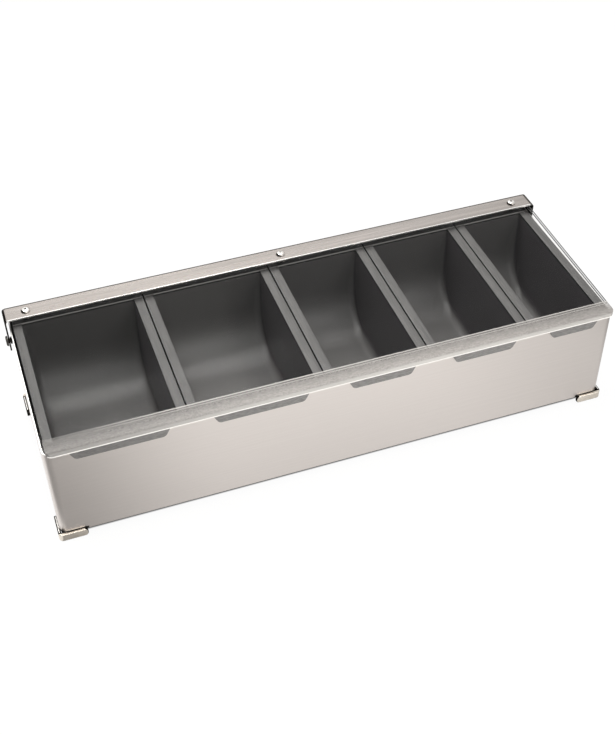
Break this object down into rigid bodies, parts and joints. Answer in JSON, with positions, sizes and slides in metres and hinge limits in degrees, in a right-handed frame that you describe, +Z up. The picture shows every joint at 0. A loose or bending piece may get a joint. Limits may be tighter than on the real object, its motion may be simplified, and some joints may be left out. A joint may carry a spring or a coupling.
{
  "type": "condiment station",
  "caption": "Long brushed steel tray on corner feet with lift-out scooped bins side by side under a clear hinged lid.",
  "frame": {"origin": "centre of the footprint, on the surface that the feet stand on", "axes": "+X to the right along the tray, +Y towards the hinge at the rear, +Z up"},
  "size_m": [0.468, 0.1668, 0.1024],
  "materials": {
    "brushed_steel": "brushed along its length",
    "bright_steel": "polished",
    "dark_metal": "satin black",
    "bin_plastic": "fine moulded grain",
    "clear_plastic": "clear, satin along the front margin"
  },
  "bodies": {
    "tray": {"tray_body": "brushed_steel", "foot_front_left": "bright_steel", "foot_front_right": "bright_steel", "foot_rear_left": "bright_steel", "foot_rear_right": "bright_steel", "pivot_pin_left": "bright_steel", "pivot_pin_right": "bright_steel", "pin_spacer_left": "dark_metal", "pin_spacer_right": "dark_metal"},
    "lid": {"lid_panel": "clear_plastic", "hinge_bar": "brushed_steel", "lid_rivet_left": "bright_steel", "lid_rivet_middle": "bright_steel", "lid_rivet_right": "bright_steel", "rivet_washer_left": "bright_steel", "rivet_washer_middle": "bright_steel", "rivet_washer_right": "bright_steel"},
    "bin_1": {"insert_1": "bin_plastic"},
    "bin_2": {"insert_2": "bin_plastic"},
    "bin_3": {"insert_3": "bin_plastic"},
    "bin_4": {"insert_4": "bin_plastic"},
    "bin_5": {"insert_5": "bin_plastic"}
  },
  "joints": [
    {"name": "lid_hinge", "type": "hinge", "parent": "tray", "child": "lid", "pos_m": [0, 0.07515, 0.0738], "axis": [-1, 0, 0], "range_deg": [0, 140]},
    {"name": "bin_1_lift", "type": "slide", "parent": "tray", "child": "bin_1", "axis": [0, 0, 1], "range_m": [0, 0.0002]},
    {"name": "bin_2_lift", "type": "slide", "parent": "tray", "child": "bin_2", "axis": [0, 0, 1], "range_m": [0, 0.0002]},
    {"name": "bin_3_lift", "type": "slide", "parent": "tray", "child": "bin_3", "axis": [0, 0, 1], "range_m": [0, 0.0002]},
    {"name": "bin_4_lift", "type": "slide", "parent": "tray", "child": "bin_4", "axis": [0, 0, 1], "range_m": [0, 0.0002]},
    {"name": "bin_5_lift", "type": "slide", "parent": "tray", "child": "bin_5", "axis": [0, 0, 1], "range_m": [0, 0.0002]}
  ]
}
